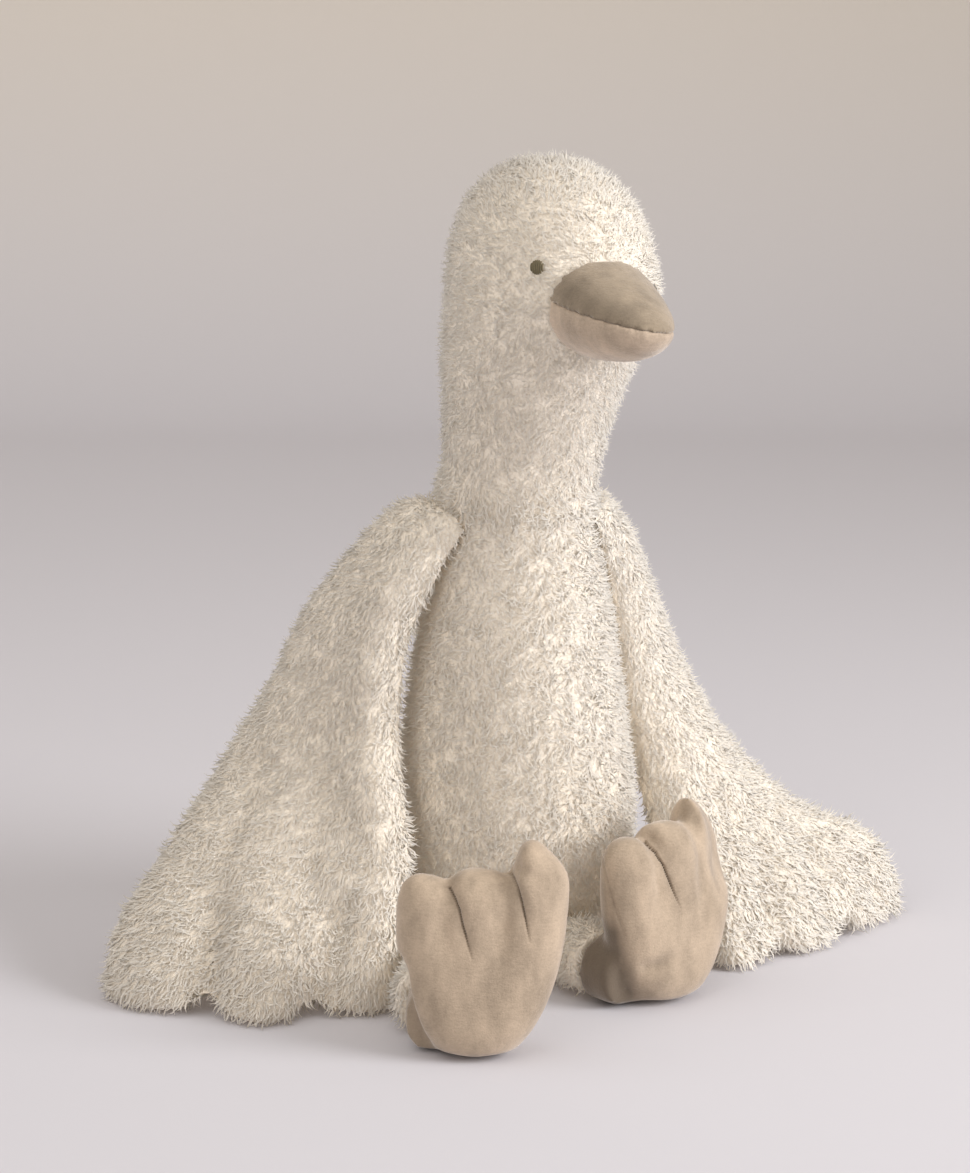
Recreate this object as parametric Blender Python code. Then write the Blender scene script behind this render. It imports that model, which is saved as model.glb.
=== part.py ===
"""Sitting plush duckling, sewn from stuffed fur and velour bags.

Metres, +Z up. The duckling faces -Y, its right side is at -X, and the origin is the middle
of its seat on the floor. Each stuffed bag is one closed solid.
"""
import math

import bmesh
import bpy
from mathutils import Matrix, Vector

# Seam clearance between two bags that are sewn together
GAP = 0.0003

# Torso
TORSO_HEIGHT = 0.180
TORSO_BELLY_RADIUS = 0.0475
TORSO_BELLY_HEIGHT = 0.062
TORSO_SEAT_RADIUS = 0.026
TORSO_FLATNESS = 0.96
TORSO_TAPER = 1.25
NECK_RADIUS = 0.0305

# Head and neck, one bag that stands on the torso
HEAD_TURN = 9.0
HEAD_TILT = 10.0
NECK_TO_CHEEK = 0.085
CHEEK_TO_CROWN = 0.0515
HEAD_HALF_LENGTH = 0.0460
HEAD_HALF_WIDTH = 0.0391
HEAD_FORWARD = 0.0225
HEAD_ASIDE = 0.0034
CROWN_FORWARD = 0.0190
NECK_EASE = 1.3
CROWN_ROUNDNESS = 2.2

# Beak, an upper and a lower velour bag
BEAK_REACH = 0.0795
BEAK_CORNER = 0.0280
BEAK_HALF_WIDTH = 0.0223
UPPER_BEAK_HEIGHT = 0.0225
LOWER_BEAK_HEIGHT = 0.0176
BEAK_BELOW_CHEEK = 0.0011
BEAK_DROOP = 0.0044
BEAK_ROUNDNESS = 2.1
UPPER_BEAK_SLOPE = 1.35
LOWER_BEAK_SLOPE = 2.05
MOUTH_RISE = 0.0024
MOUTH_RISE_POWER = 4

# Eyes, embroidered dots
EYE_RADIUS = 0.0024
EYE_THICKNESS = 0.0011
EYE_ABOVE_CHEEK = 0.0102
EYE_ANGLE = 39.3

# Wings, padded two-layer fur flaps that hang from the shoulders
WING_THICKNESS = 0.0125
WING_ROLL = 0.0045
WING_ROLL_WIDTH = 0.016
WING_LOBES = 3
LOBE_NOTCH = 0.013
LOBE_GROOVE = 0.0062
LOBE_GROOVE_WIDTH = 0.0085
LOBE_GROOVE_START = 0.52
LOBE_GROOVE_FADE = 0.20
LOBE_NOTCH_START = 0.5

# Feet, velour pads that stand on their heels
FOOT_HALF_WIDTH = 0.0314
FOOT_HEEL_ROUND = 0.058
FOOT_THICKNESS = 0.029
TOE_THICKNESS = 0.023
TOE_TOPS = (0.0720, 0.0752, 0.0848)
TOE_BOUNDS = (-0.39, 0.30)
TOE_NOTCH = 0.0070
TOE_GROOVE = 0.0042
TOE_GROOVE_WIDTH = 0.0026
TOE_GROOVE_FOOT = 0.036
TOE_GROOVE_FADE = 0.020
TOE_SQUARENESS = 3.0
FOOT_RIM_SHARE = 0.62
ANKLE_RADIUS = 0.0138
ANKLE_LENGTH_RIGHT = 0.021
ANKLE_LENGTH_LEFT = 0.017
ANKLE_OFFSET = 0.0165
ANKLE_HEIGHT = 0.0125
FOOT_RIGHT_PLACE = (-0.0530, -0.1085)
FOOT_LEFT_PLACE = (0.0358, -0.0720)
FOOT_RIGHT_TURN = -19.0
FOOT_LEFT_TURN = 22.0
FOOT_RIGHT_ROLL = 3.5
FOOT_LEFT_ROLL = 2.0
FOOT_LEAN = 2.0
LEFT_TOE_FOLD = 0.0140
LEFT_TOE_DROP = 0.0130
LEFT_TOE_SPREAD = 0.0060
LEFT_TOE_CREASE = 0.35
LEFT_TOE_FOLD_START = 0.45
LEFT_TOE_FOLD_SPAN = 0.40
HEEL_PRESSED = 0.005

# Legs, fur tubes between torso and ankles
LEG_RADIUS = 0.0140
LEG_BURIED = 0.012
HIP_RISE = 0.002
HIP_ANGLE_RIGHT = -48.0
HIP_ANGLE_LEFT = 20.0
KNEE_SHARE = 0.35

# Drape of the wings. Each row goes from the shoulder down and holds, for the front edge, the
# middle and the back edge: height as a share of the shoulder's, degrees round from the
# front, and metres out from the torso's surface.
SHOULDER_DRAPE = (
    ((0.99, 50.0, -0.0060), (0.99, 92.0, -0.0120), (0.99, 118.0, -0.0120)),
    ((0.96, 56.0, 0.0030), (1.01, 94.0, 0.0055), (1.01, 114.0, 0.0085)),
)
WING_RIGHT_DRAPE = (
    ((0.85, 71.0, 0.0080), (0.90, 96.0, 0.0190), (0.91, 112.0, 0.0260)),
    ((0.71, 81.0, 0.0095), (0.75, 99.0, 0.0305), (0.77, 113.5, 0.0435)),
    ((0.57, 83.0, 0.0070), (0.58, 99.0, 0.0355), (0.60, 114.5, 0.0550)),
    ((0.44, 73.6, 0.0070), (0.41, 92.5, 0.0435), (0.42, 110.0, 0.0710)),
    ((0.28, 62.8, 0.0100), (0.25, 81.8, 0.0590), (0.26, 100.5, 0.0920)),
    ((0.13, 58.0, 0.0225), (0.11, 71.5, 0.0790), (0.12, 93.0, 0.1180)),
    ((-0.02, 56.0, 0.0510), (-0.02, 66.0, 0.1050), (-0.02, 88.5, 0.1420)),
)
WING_LEFT_DRAPE = (
    ((0.85, 76.0, 0.0050), (0.90, 98.0, 0.0125), (0.91, 114.0, 0.0180)),
    ((0.71, 91.0, 0.0045), (0.75, 100.0, 0.0180), (0.77, 118.0, 0.0320)),
    ((0.57, 95.0, 0.0040), (0.58, 99.0, 0.0245), (0.60, 116.5, 0.0430)),
    ((0.44, 92.0, 0.0055), (0.41, 91.0, 0.0350), (0.42, 107.5, 0.0530)),
    ((0.28, 79.0, 0.0090), (0.25, 84.0, 0.0530), (0.27, 97.0, 0.0750)),
    ((0.13, 64.0, 0.0250), (0.11, 75.5, 0.0700), (0.18, 92.5, 0.1130)),
    ((-0.02, 53.0, 0.0585), (-0.02, 71.5, 0.0950), (-0.02, 91.0, 0.1440)),
)

RIGHT = -1
LEFT = 1
SEGMENTS = 26


def smoothstep(value):
    value = min(max(value, 0.0), 1.0)
    return value * value * (3.0 - 2.0 * value)


def dome(value, power=2.0):
    """Height of a rounded end: 1 at value 0, falling to 0 at value 1."""
    return max(0.0, 1.0 - min(abs(value), 1.0) ** power) ** (1.0 / power)


def bell(distance, width):
    return math.exp(-((distance / width) ** 2))


def catmull(points, t):
    """A point of the smooth curve through the given points, t from 0 to 1."""
    spans = len(points) - 1
    place = min(max(t, 0.0), 1.0) * spans
    start = min(int(place), spans - 1)
    u = place - start
    before = points[max(start - 1, 0)]
    here = points[start]
    there = points[start + 1]
    after = points[min(start + 2, spans)]
    return 0.5 * (
        2.0 * here
        + (there - before) * u
        + (2.0 * before - 5.0 * here + 4.0 * there - after) * u**2
        + (3.0 * here - before - 3.0 * there + after) * u**3
    )


def settle(z, soft=0.003):
    """Presses the last few millimetres of a soft bag onto the floor."""
    if z > soft:
        return z
    return soft * math.exp(z / soft - 1.0)


def material(name, colour, roughness):
    made = bpy.data.materials.new(name)
    made.use_nodes = True
    shader = made.node_tree.nodes["Principled BSDF"]
    shader.inputs["Base Color"].default_value = (*colour, 1.0)
    shader.inputs["Roughness"].default_value = roughness
    shader.inputs["Metallic"].default_value = 0.0
    made.diffuse_color = (*colour, 1.0)
    return made


def finish(mesh, name, surface=None):
    """Makes an object of a bmesh, with its faces outwards and smooth."""
    bmesh.ops.recalc_face_normals(mesh, faces=mesh.faces)
    data = bpy.data.meshes.new(name)
    mesh.to_mesh(data)
    mesh.free()
    data.shade_smooth()
    made = bpy.data.objects.new(name, data)
    bpy.context.scene.collection.objects.link(made)
    if surface:
        data.materials.append(surface)
    return made


def loft(rings, start_point=None, end_point=None):
    """A closed skin over rings of equal count, its ends flat or drawn to a point."""
    mesh = bmesh.new()
    loops = [[mesh.verts.new(point) for point in ring] for ring in rings]
    count = len(loops[0])
    for lower, upper in zip(loops, loops[1:]):
        for i in range(count):
            j = (i + 1) % count
            mesh.faces.new((lower[i], lower[j], upper[j], upper[i]))
    for loop, point in ((loops[0], start_point), (loops[-1], end_point)):
        if point is None:
            mesh.faces.new(loop)
            continue
        tip = mesh.verts.new(point)
        for i in range(count):
            mesh.faces.new((loop[i], loop[(i + 1) % count], tip))
    return mesh


def pad(place, thickness, columns, rows):
    """A padded sheet: place(s, t) gives its middle surface and normal, thickness(s, t) its depth.

    Its front and back skins share the rim, and both parameters run from 0 to 1.
    """
    mesh = bmesh.new()
    front = {}
    back = {}
    for i in range(columns + 1):
        for j in range(rows + 1):
            s = 0.5 - 0.5 * math.cos(math.pi * i / columns)
            t = math.sin(math.pi / 2.0 * j / rows)
            middle, normal = place(s, t)
            if i in (0, columns) or j in (0, rows):
                middle.z = settle(middle.z)
                front[i, j] = back[i, j] = mesh.verts.new(middle)
                continue
            half = 0.5 * thickness(s, t)
            for skin, side in ((front, 1.0), (back, -1.0)):
                point = middle + side * half * normal
                point.z = settle(point.z)
                skin[i, j] = mesh.verts.new(point)
    for i in range(columns):
        for j in range(rows):
            for skin in (front, back):
                corners = (skin[i, j], skin[i + 1, j], skin[i + 1, j + 1], skin[i, j + 1])
                mesh.faces.new(corners)
    return mesh


def cut(target, cutter):
    """Cuts target by a hidden cutter, with Blender's exact solver."""
    cutter.hide_render = True
    cutter.display_type = "WIRE"
    boolean = target.modifiers.new("clear_of_" + cutter.name, "BOOLEAN")
    boolean.operation = "DIFFERENCE"
    boolean.solver = "EXACT"
    boolean.object = cutter


def join(target, other):
    other.hide_render = True
    other.display_type = "WIRE"
    boolean = target.modifiers.new("joined_with_" + other.name, "BOOLEAN")
    boolean.operation = "UNION"
    boolean.solver = "EXACT"
    boolean.object = other


def set_origin(made, origin, parent=None, parent_origin=(0.0, 0.0, 0.0)):
    """Moves an object's origin to a point of the model, and hangs it on its parent."""
    made.data.transform(Matrix.Translation(-Vector(origin)))
    made.location = Vector(origin) - Vector(parent_origin)
    made.parent = parent


# Torso

def torso_radius(height):
    """Half width of the torso at a height, a pear with a flat seat."""
    if height < TORSO_BELLY_HEIGHT:
        below = (TORSO_BELLY_HEIGHT - height) / TORSO_BELLY_HEIGHT
        return TORSO_SEAT_RADIUS + (TORSO_BELLY_RADIUS - TORSO_SEAT_RADIUS) * dome(below)
    above = (height - TORSO_BELLY_HEIGHT) / (TORSO_HEIGHT - TORSO_BELLY_HEIGHT)
    return TORSO_BELLY_RADIUS - (TORSO_BELLY_RADIUS - NECK_RADIUS) * min(above, 1.0) ** TORSO_TAPER


def round_ring(centre, half_x, half_y, turn=0.0, count=SEGMENTS):
    """A level ellipse, its half_y axis turned from -Y towards +X by turn degrees."""
    forward = Vector((math.sin(math.radians(turn)), -math.cos(math.radians(turn)), 0.0))
    aside = Vector((-forward.y, forward.x, 0.0))
    ring = []
    for i in range(count):
        angle = 2.0 * math.pi * i / count
        ring.append(centre + forward * half_y * math.cos(angle) + aside * half_x * math.sin(angle))
    return ring


def torso_skin(grow=0.0):
    below_belly = [TORSO_BELLY_HEIGHT * (1.0 - math.cos(math.pi / 2.0 * k / 5)) for k in range(6)]
    above = TORSO_HEIGHT - TORSO_BELLY_HEIGHT
    above_belly = [TORSO_BELLY_HEIGHT + above * k / 7 for k in range(1, 8)]
    rings = []
    for height in below_belly + above_belly:
        radius = torso_radius(height) + grow
        z = height - grow if height == 0.0 else height
        z = height + grow if height == TORSO_HEIGHT else z
        rings.append(round_ring(Vector((0.0, 0.0, z)), radius, radius * TORSO_FLATNESS))
    return loft(rings)


# Head and neck

def head_ways():
    """The way the head faces and the way to its left, both level."""
    turn = math.radians(HEAD_TURN)
    forward = Vector((math.sin(turn), -math.cos(turn), 0.0))
    return forward, Vector((-forward.y, forward.x, 0.0))


def tilted_ways():
    """The ways across and up the face, which is tilted to its left."""
    _, aside = head_ways()
    tilt = math.radians(HEAD_TILT)
    upward = Vector((0.0, 0.0, 1.0))
    across = aside * math.cos(tilt) - upward * math.sin(tilt)
    return across, upward * math.cos(tilt) + aside * math.sin(tilt)


CHEEK_HEIGHT = TORSO_HEIGHT + NECK_TO_CHEEK


def head_section(height):
    """Centre, half length and half width of the head and neck at a height."""
    if height <= CHEEK_HEIGHT:
        up = (height - TORSO_HEIGHT) / NECK_TO_CHEEK
        late = max(up, 0.0) ** NECK_EASE
        grown = smoothstep(late)
        lean = HEAD_FORWARD * late
        aside_lean = HEAD_ASIDE * late
        half_length = NECK_RADIUS + (HEAD_HALF_LENGTH - NECK_RADIUS) * grown
        half_width = NECK_RADIUS + (HEAD_HALF_WIDTH - NECK_RADIUS) * grown
    else:
        over = (height - CHEEK_HEIGHT) / CHEEK_TO_CROWN
        lean = HEAD_FORWARD + (CROWN_FORWARD - HEAD_FORWARD) * over
        aside_lean = HEAD_ASIDE
        half_length = HEAD_HALF_LENGTH * dome(over, CROWN_ROUNDNESS)
        half_width = HEAD_HALF_WIDTH * dome(over, CROWN_ROUNDNESS)
    forward, aside = head_ways()
    centre = forward * lean + aside * aside_lean + Vector((0.0, 0.0, height))
    return centre, half_length, half_width


def head_skin(grow=0.0):
    bottom = TORSO_HEIGHT + GAP - grow
    heights = [bottom]
    heights += [TORSO_HEIGHT + NECK_TO_CHEEK * k / 7 for k in range(1, 8)]
    heights += [CHEEK_HEIGHT + CHEEK_TO_CROWN * math.sin(math.pi / 2.0 * k / 8) for k in range(1, 8)]
    rings = []
    for height in heights:
        centre, half_length, half_width = head_section(height)
        rings.append(round_ring(centre, half_width + grow, half_length + grow, HEAD_TURN))
    crown, _, _ = head_section(CHEEK_HEIGHT + CHEEK_TO_CROWN)
    return loft(rings, end_point=crown + Vector((0.0, 0.0, grow)))


# Beak

def beak_skin(upper, rows=8, arc=12):
    """One half of the beak: sections across it from the face to the blunt tip."""
    forward, _ = head_ways()
    across, upward = tilted_ways()
    cheek, _, _ = head_section(CHEEK_HEIGHT)
    side = 1.0 if upper else -1.0
    full_height = UPPER_BEAK_HEIGHT if upper else LOWER_BEAK_HEIGHT
    slope = UPPER_BEAK_SLOPE if upper else LOWER_BEAK_SLOPE
    rings = []
    for row in range(rows):
        along = math.sin(math.pi / 2.0 * row / rows)
        half_width = BEAK_HALF_WIDTH * dome(along, BEAK_ROUNDNESS)
        middle = -BEAK_BELOW_CHEEK - BEAK_DROOP * along
        mouth = middle + MOUTH_RISE * (1.0 - along) ** MOUTH_RISE_POWER
        edge = middle + side * full_height * dome(along, slope)
        centre = cheek + forward * (BEAK_CORNER + (BEAK_REACH - BEAK_CORNER) * along)
        ring = []
        for k in range(arc + 1):
            angle = math.pi * k / arc
            lift = mouth + side * GAP / 2.0 + (edge - mouth) * math.sin(angle)
            ring.append(centre + across * half_width * math.cos(angle) + upward * lift)
        rings.append(ring)
    tip_lift = -BEAK_BELOW_CHEEK - BEAK_DROOP + side * GAP / 2.0
    return loft(rings, end_point=cheek + forward * BEAK_REACH + upward * tip_lift)


# Eyes

def eye_skin(side, around=14, rows=6):
    """A flat embroidered dot, its middle on the head's surface."""
    forward, aside = head_ways()
    across, upward = tilted_ways()
    angle = math.radians(EYE_ANGLE)
    front_share = math.cos(angle)
    side_share = side * math.sin(angle)
    lift = upward * EYE_ABOVE_CHEEK + across * side_share * HEAD_HALF_WIDTH
    centre, half_length, half_width = head_section(CHEEK_HEIGHT + lift.z)
    middle = centre + forward * half_length * front_share + aside * half_width * side_share
    outward = (forward * front_share / half_length + aside * side_share / half_width).normalized()
    flat = outward.cross(Vector((0.0, 0.0, 1.0))).normalized()
    tall = flat.cross(outward).normalized()
    rings = []
    for row in range(1, rows):
        turn = math.pi * row / rows
        reach = EYE_RADIUS * math.sin(turn)
        depth = outward * -EYE_THICKNESS * math.cos(turn)
        ring = []
        for k in range(around):
            a = 2.0 * math.pi * k / around
            ring.append(middle + depth + flat * reach * math.cos(a) + tall * reach * math.sin(a))
        rings.append(ring)
    return loft(rings, middle - outward * EYE_THICKNESS, middle + outward * EYE_THICKNESS), middle


# Wings

def wing_edges(side):
    """The wing's front edge, middle and back edge as three lists of points."""
    rows = SHOULDER_DRAPE + (WING_RIGHT_DRAPE if side == RIGHT else WING_LEFT_DRAPE)
    edges = []
    for column in range(3):
        points = []
        for row in rows:
            share, degrees, stand_off = row[column]
            height = share * TORSO_HEIGHT
            reach = torso_radius(height) + stand_off
            angle = math.radians(degrees)
            points.append(Vector((side * reach * math.sin(angle), -reach * math.cos(angle), height)))
        edges.append(points)
    return edges


def wing_skin(side, columns=18, rows=22):
    front, middle, back = wing_edges(side)
    bounds = [k / WING_LOBES for k in range(1, WING_LOBES)]

    def surface(s, t):
        a = catmull(front, t)
        b = catmull(middle, t)
        c = catmull(back, t)
        return a * (1.0 - s) * (1.0 - 2.0 * s) + b * 4.0 * s * (1.0 - s) + c * s * (2.0 * s - 1.0)

    length = sum((surface(0.5, (k + 1) / 20) - surface(0.5, k / 20)).length for k in range(20))

    def width(t):
        return sum((surface((k + 1) / 8, t) - surface(k / 8, t)).length for k in range(8))

    def shorten(s, t):
        """Scallops the lower rim between the feather lobes."""
        notch = max(bell((s - bound) * width(1.0), LOBE_GROOVE_WIDTH) for bound in bounds)
        return t * (1.0 - LOBE_NOTCH / length * notch * smoothstep((t - LOBE_NOTCH_START) / (1.0 - LOBE_NOTCH_START)))

    def place(s, t):
        step = 0.01
        u = shorten(s, t)
        across = surface(min(s + step, 1.0), u) - surface(max(s - step, 0.0), u)
        down = surface(s, min(u + step, 1.0)) - surface(s, max(u - step, 0.0))
        normal = side * -across.cross(down).normalized()
        return surface(s, u), normal

    def thickness(s, t):
        wide = width(t)
        rim = min(s, 1.0 - s) * wide
        end = (1.0 - t) * length
        full = WING_THICKNESS + WING_ROLL * bell(s * wide - WING_ROLL_WIDTH / 2.0, WING_ROLL_WIDTH / 2.0)
        groove = sum(bell((s - bound) * wide, LOBE_GROOVE_WIDTH) for bound in bounds)
        full -= LOBE_GROOVE * groove * smoothstep((t - LOBE_GROOVE_START) / LOBE_GROOVE_FADE)
        rounded = dome(1.0 - min(rim / WING_THICKNESS, 1.0)) * dome(1.0 - min(end / WING_THICKNESS, 1.0))
        return max(full * rounded, GAP)

    return pad(place, thickness, columns, rows)


# Feet

def foot_frame(side):
    """Heel centre on the floor, the way across the sole, up the foot, and out of the sole."""
    place = FOOT_RIGHT_PLACE if side == RIGHT else FOOT_LEFT_PLACE
    turn = math.radians(FOOT_RIGHT_TURN if side == RIGHT else FOOT_LEFT_TURN)
    roll = math.radians(FOOT_RIGHT_ROLL if side == RIGHT else FOOT_LEFT_ROLL)
    lean = math.radians(FOOT_LEAN)
    out = Vector((math.sin(turn), -math.cos(turn), 0.0))
    across = Vector((-out.y, out.x, 0.0))
    up = Vector((0.0, 0.0, 1.0)) * math.cos(lean) - out * math.sin(lean)
    tilted_up = up * math.cos(roll) + across * math.sin(roll)
    tilted_across = across * math.cos(roll) - up * math.sin(roll)
    return Vector((place[0], place[1], -HEEL_PRESSED)), tilted_across, tilted_up, out


def toe_top(s):
    """Height of the sole's rim, a row of three rounded toes; s runs from -1 to 1."""
    edges = (-1.0, *TOE_BOUNDS, 1.0)
    for first, last, top in zip(edges, edges[1:], TOE_TOPS):
        if s <= last or last == 1.0:
            middle = (first + last) / 2.0
            return top - TOE_NOTCH * (1.0 - dome((s - middle) / (last - middle), TOE_SQUARENESS))
    return TOE_TOPS[-1]


def foot_skin(side, columns=22, rows=16):
    heel, across, up, out = foot_frame(side)

    def place(s, t):
        aside = 2.0 * s - 1.0
        height = t * toe_top(aside)
        half = FOOT_HALF_WIDTH * dome(1.0 - min(height / FOOT_HEEL_ROUND, 1.0))
        point = heel + across * aside * half + up * height
        if side == LEFT:
            fold = smoothstep((aside - TOE_BOUNDS[1]) / LEFT_TOE_CREASE)
            fold *= smoothstep((t - LEFT_TOE_FOLD_START) / LEFT_TOE_FOLD_SPAN)
            point += (across * LEFT_TOE_SPREAD - out * LEFT_TOE_FOLD - up * LEFT_TOE_DROP) * fold
        return point, out

    def thickness(s, t):
        aside = 2.0 * s - 1.0
        height = t * toe_top(aside)
        half = FOOT_HALF_WIDTH * dome(1.0 - min(height / FOOT_HEEL_ROUND, 1.0))
        rim = (1.0 - abs(aside)) * half
        end = (1.0 - t) * toe_top(aside)
        full = FOOT_THICKNESS + (TOE_THICKNESS - FOOT_THICKNESS) * smoothstep(t)
        nearest = min(abs(aside - bound) for bound in TOE_BOUNDS) * FOOT_HALF_WIDTH
        groove = bell(nearest, TOE_GROOVE_WIDTH) * smoothstep((height - TOE_GROOVE_FOOT) / TOE_GROOVE_FADE)
        round_side = dome(1.0 - min(rim / (FOOT_THICKNESS * FOOT_RIM_SHARE), 1.0))
        round_top = dome(1.0 - min(end / (TOE_THICKNESS * FOOT_RIM_SHARE), 1.0))
        round_heel = dome(1.0 - min(height / (FOOT_THICKNESS * FOOT_RIM_SHARE), 1.0))
        return max((full - 2.0 * TOE_GROOVE * groove) * round_side * round_top * round_heel, GAP)

    return pad(place, thickness, columns, rows)


def ankle_seam(side):
    """Centre of the seam between ankle and leg, and the way out of the foot."""
    heel, across, up, out = foot_frame(side)
    level_across = Vector((-out.y, out.x, 0.0))
    length = ANKLE_LENGTH_RIGHT if side == RIGHT else ANKLE_LENGTH_LEFT
    centre = heel - level_across * ANKLE_OFFSET - out * length
    centre.z = ANKLE_HEIGHT
    return centre, -out


def tube_ring(centre, along, radius, count=16):
    aside = along.cross(Vector((0.0, 0.0, 1.0))).normalized()
    upward = aside.cross(along).normalized()
    ring = []
    for i in range(count):
        angle = 2.0 * math.pi * i / count
        point = centre + (aside * math.cos(angle) + upward * math.sin(angle)) * radius
        point.z = settle(point.z)
        ring.append(point)
    return ring


def ankle_skin(side):
    """A short stub out of the heel, that the foot is joined with."""
    seam, along = ankle_seam(side)
    length = ANKLE_LENGTH_RIGHT if side == RIGHT else ANKLE_LENGTH_LEFT
    rings = [tube_ring(seam - along * length * k / 3.0, along, ANKLE_RADIUS) for k in range(4)]
    return loft(rings[::-1])


def leg_skin(side, rows=8):
    """A bent tube from the ankle's seam to inside the torso's skin."""
    seam, along = ankle_seam(side)
    start = seam + along * GAP
    hip_angle = math.radians(HIP_ANGLE_RIGHT if side == RIGHT else HIP_ANGLE_LEFT)
    hip_reach = torso_radius(ANKLE_HEIGHT) - LEG_BURIED
    hip = Vector((math.sin(hip_angle) * hip_reach, -math.cos(hip_angle) * hip_reach, ANKLE_HEIGHT + HIP_RISE))
    knee = start + along * (hip - start).length * KNEE_SHARE
    rings = []
    for k in range(rows + 1):
        t = k / rows
        centre = start * (1 - t) ** 2 + knee * 2 * t * (1 - t) + hip * t**2
        way = (knee - start) * (1 - t) + (hip - knee) * t
        way.z = 0.0
        way.normalize()
        rings.append(tube_ring(centre, way, LEG_RADIUS))
    return loft(rings)


def build():
    for old in list(bpy.data.objects):
        bpy.data.objects.remove(old)

    duckling = bpy.data.objects.new("duckling", None)
    bpy.context.scene.collection.objects.link(duckling)
    body_fur = material("body_fur", (0.87, 0.83, 0.74), 0.95)

    torso = finish(torso_skin(), "torso", body_fur)
    torso.parent = duckling
    torso_clear = finish(torso_skin(GAP), "torso_clear")

    neck_seam = Vector((0.0, 0.0, TORSO_HEIGHT))
    head = finish(head_skin(), "head_neck", material("head_fur", (0.87, 0.83, 0.74), 0.95))
    set_origin(head, neck_seam, torso)
    head_clear = finish(head_skin(GAP), "head_clear")

    cheek, _, _ = head_section(CHEEK_HEIGHT)
    for name, upper in (("beak_upper", True), ("beak_lower", False)):
        half = finish(beak_skin(upper), name, material(name + "_velour", (0.56, 0.48, 0.38), 0.9))
        set_origin(half, cheek, head, neck_seam)
        cut(half, head_clear)

    for name, side in (("right", RIGHT), ("left", LEFT)):
        skin, middle = eye_skin(side)
        eye = finish(skin, "eye_" + name, material("eye_thread_" + name, (0.12, 0.10, 0.05), 0.7))
        set_origin(eye, middle, head, neck_seam)
        cut(eye, head_clear)

        wing = finish(wing_skin(side), "wing_" + name, material("wing_fur_" + name, (0.87, 0.83, 0.74), 0.95))
        set_origin(wing, (side * NECK_RADIUS, 0.0, TORSO_HEIGHT), torso)
        cut(wing, torso_clear)
        cut(wing, head_clear)

        seam, _ = ankle_seam(side)
        leg = finish(leg_skin(side), "leg_" + name, material("leg_fur_" + name, (0.87, 0.83, 0.74), 0.95))
        set_origin(leg, seam, torso)
        cut(leg, torso_clear)

        foot = finish(foot_skin(side), "foot_" + name, material("velour_" + name, (0.58, 0.49, 0.38), 0.9))
        set_origin(foot, seam, leg, seam)
        stub = finish(ankle_skin(side), "ankle_" + name)
        join(foot, stub)


if __name__ == "__main__":
    build()
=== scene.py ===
"""Dresses the sitting plush duckling: curly fur, velour feet and beak, sewn eyes and seams."""

import math

import bmesh
import bpy
import numpy as np
from mathutils import Euler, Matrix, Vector
from mathutils.bvhtree import BVHTree
from mathutils.kdtree import KDTree


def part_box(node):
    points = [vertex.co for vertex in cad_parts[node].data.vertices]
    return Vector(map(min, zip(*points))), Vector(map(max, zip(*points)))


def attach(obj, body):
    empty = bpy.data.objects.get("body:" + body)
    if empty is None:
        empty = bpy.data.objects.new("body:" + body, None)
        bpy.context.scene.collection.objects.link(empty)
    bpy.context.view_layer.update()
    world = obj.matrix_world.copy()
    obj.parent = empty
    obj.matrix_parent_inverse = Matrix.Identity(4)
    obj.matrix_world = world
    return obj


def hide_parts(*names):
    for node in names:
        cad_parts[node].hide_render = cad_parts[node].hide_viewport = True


bl_info = {
    "name": "Plush duckling dressing",
    "version": (1, 0, 0),
    "blender": (4, 5, 0),
    "location": "3D View > Sidebar > Plush duckling",
    "description": "Fur, velour, seams and a plain stage for a sitting plush duckling",
    "category": "Object",
}

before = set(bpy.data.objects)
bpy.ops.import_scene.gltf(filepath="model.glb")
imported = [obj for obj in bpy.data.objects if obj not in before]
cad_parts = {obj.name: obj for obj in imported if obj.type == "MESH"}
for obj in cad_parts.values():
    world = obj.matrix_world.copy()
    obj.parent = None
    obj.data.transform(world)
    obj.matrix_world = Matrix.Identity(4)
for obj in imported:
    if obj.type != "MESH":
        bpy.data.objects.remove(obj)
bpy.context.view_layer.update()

BODY = "root"
STRAND_MAP = "OFBake"

# How far the lowest cloth and fur stay above the floor.
FLOOR_GAP = 0.0002

# The picture's frame in pixels, and the lens that its sizes were measured through.
PICTURE_WIDTH = 970
PICTURE_HEIGHT = 1173
LENS = 100.0
SENSOR = 36.0
CAMERA_PLACE = Vector((-0.3951, -1.1771, 0.4123))
CAMERA_TURN = Euler((math.radians(78.0), 0.0, math.radians(-18.0)))

# Cell sizes of the even meshes that the bags are cut as.
BODY_CELL = 0.0034
WING_CELL = 0.0026
LEG_CELL = 0.0024
FOOT_CELL = 0.0017
BEAK_CELL = 0.0010
FOOT_INSET = 0.0002
BEAK_INSET = -0.0003

# The stuffing: its pressure, how far it may move a bag, and how stiff the cloth is.
BAG_PRESSURE = 2.2
FOOT_PRESSURE = 5.0
MOST_MOVED = 0.0016
CLOTH_STIFFNESS = 12.0
CLOTH_FRAMES = 20
SEAT_HEIGHT = 0.0025
BAG_GROOVE_DEPTH = 0.00035
FOOT_GROOVE_DEPTH = 0.00025

# How far the ends of the torso and of the neck are pushed into each other at the neck seam.
NECK_TUCK = 0.004
NECK_TUCK_SPAN = 0.013
NECK_COLUMN = 0.0300
NECK_COLUMN_REACH = 0.006

# How far the wings are drawn in against the torso's side, and how near they must be for it.
WING_HUG = 0.0045
WING_HUG_REACH = 0.020
WING_HUG_FADE = 0.008

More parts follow.
